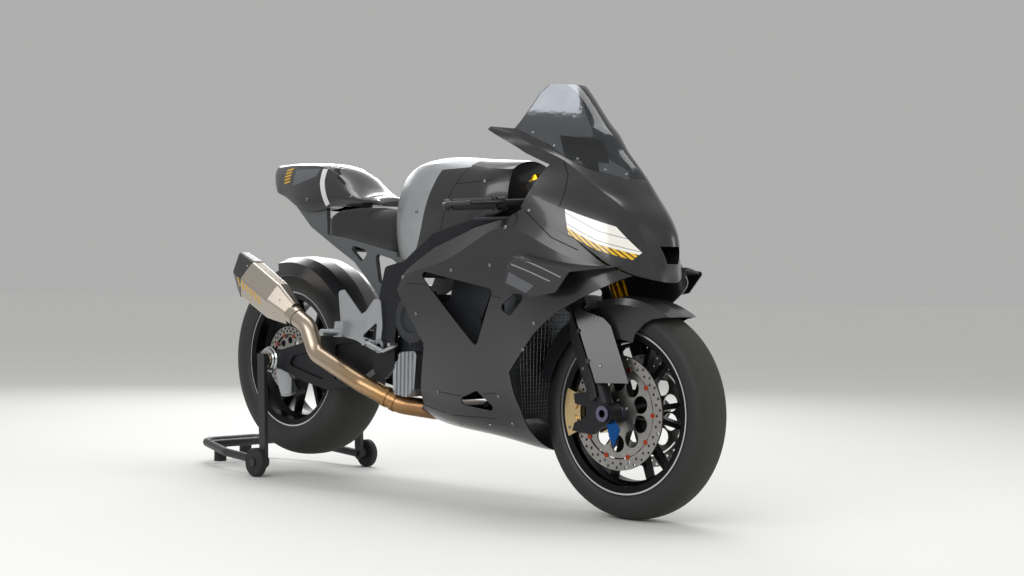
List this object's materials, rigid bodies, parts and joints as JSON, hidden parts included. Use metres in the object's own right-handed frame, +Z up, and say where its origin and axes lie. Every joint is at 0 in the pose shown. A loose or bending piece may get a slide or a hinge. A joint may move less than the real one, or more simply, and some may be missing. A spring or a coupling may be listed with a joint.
{
  "type": "racing sport bike on a rear paddock stand",
  "caption": "Track-prepared sport bike with full fairing, tall smoked screen, side wings, twin front discs, steering fork and turning wheels, held upright by a rear paddock stand.",
  "frame": {"origin": "on the floor, centre of the bounding box", "axes": "+X forward, +Y to the rider's left, +Z up"},
  "size_m": [2.227, 0.7852, 1.2293],
  "materials": {
    "frame_black": "satin",
    "frame_grey": "satin",
    "engine_grey": "matte",
    "bare_aluminium": "satin",
    "steel": "satin",
    "chain_steel": "satin",
    "disc_steel": "satin",
    "titanium": "satin",
    "carbon": "satin",
    "body_black": "satin",
    "plastic_black": "matte",
    "radiator_dark": "matte",
    "seat_black": "matte",
    "lamp_white": "gloss",
    "screen_smoke": "gloss",
    "stand_black": "satin",
    "rubber_black": "matte",
    "tyre_black": "matte",
    "gold_anodised": "satin",
    "caliper_nickel": "satin",
    "rim_black": "satin"
  },
  "bodies": {
    "chassis": {"frame": "frame_black", "subframe": "frame_grey", "swingarm": "frame_black", "pivot_bolt": "steel", "rear_axle": "titanium", "rear_shock": "steel", "engine": "engine_grey", "clutch_cover": "engine_grey", "generator_cover": "engine_grey", "sprocket_cover": "engine_grey", "front_sprocket": "steel", "sump_casting": "bare_aluminium", "radiator": "radiator_dark", "header_pipes": "titanium", "link_pipe": "titanium", "muffler": "titanium", "muffler_cap": "carbon", "chain": "chain_steel", "rear_hugger": "carbon", "rear_caliper": "bare_aluminium", "foot_controls": "bare_aluminium", "fuel_tank": "bare_aluminium", "tank_cover": "body_black", "seat": "seat_black", "tail_cowl": "body_black", "upper_fairing": "body_black", "lamp_panels": "lamp_white", "windscreen": "screen_smoke", "side_fairing_right": "body_black", "side_fairing_left": "body_black", "belly_pan": "body_black", "winglets": "carbon", "intake_duct": "carbon", "instrument_panel": "plastic_black", "paddock_stand": "stand_black", "stand_feet": "rubber_black"},
    "steering": {"triple_clamps": "frame_black", "fork_tubes": "gold_anodised", "fork_legs": "frame_black", "fork_guards": "carbon", "front_axle": "titanium", "front_calipers": "caliper_nickel", "front_fender": "carbon", "clip_ons": "frame_black", "grips": "rubber_black", "levers": "frame_black", "lever_guards": "plastic_black"},
    "front_wheel": {"front_rim": "rim_black", "front_tyre": "tyre_black", "front_brake_discs": "disc_steel"},
    "rear_wheel": {"rear_rim": "rim_black", "rear_tyre": "tyre_black", "rear_brake_disc": "disc_steel", "rear_sprocket": "steel"},
    "stand_wheel_right": {"stand_wheel_right": "rubber_black"},
    "stand_wheel_left": {"stand_wheel_left": "rubber_black"}
  },
  "joints": [
    {"name": "steering", "type": "hinge", "parent": "chassis", "child": "steering", "pos_m": [0.58356, 0, 0.75063], "axis": [-0.4003, 0, 0.9164], "range_deg": [-20, 20]},
    {"name": "front_wheel_spin", "type": "hinge", "parent": "steering", "child": "front_wheel", "pos_m": [0.8135, 0, 0.3], "axis": [0, 1, 0], "continuous": true},
    {"name": "rear_wheel_spin", "type": "hinge", "parent": "chassis", "child": "rear_wheel", "pos_m": [-0.6435, 0, 0.388], "axis": [0, 1, 0], "continuous": true},
    {"name": "stand_wheel_right_spin", "type": "hinge", "parent": "chassis", "child": "stand_wheel_right", "pos_m": [-0.6235, 0, 0.048], "axis": [0, 1, 0], "continuous": true},
    {"name": "stand_wheel_left_spin", "type": "hinge", "parent": "chassis", "child": "stand_wheel_left", "pos_m": [-0.6235, 0, 0.048], "axis": [0, 1, 0], "continuous": true}
  ]
}
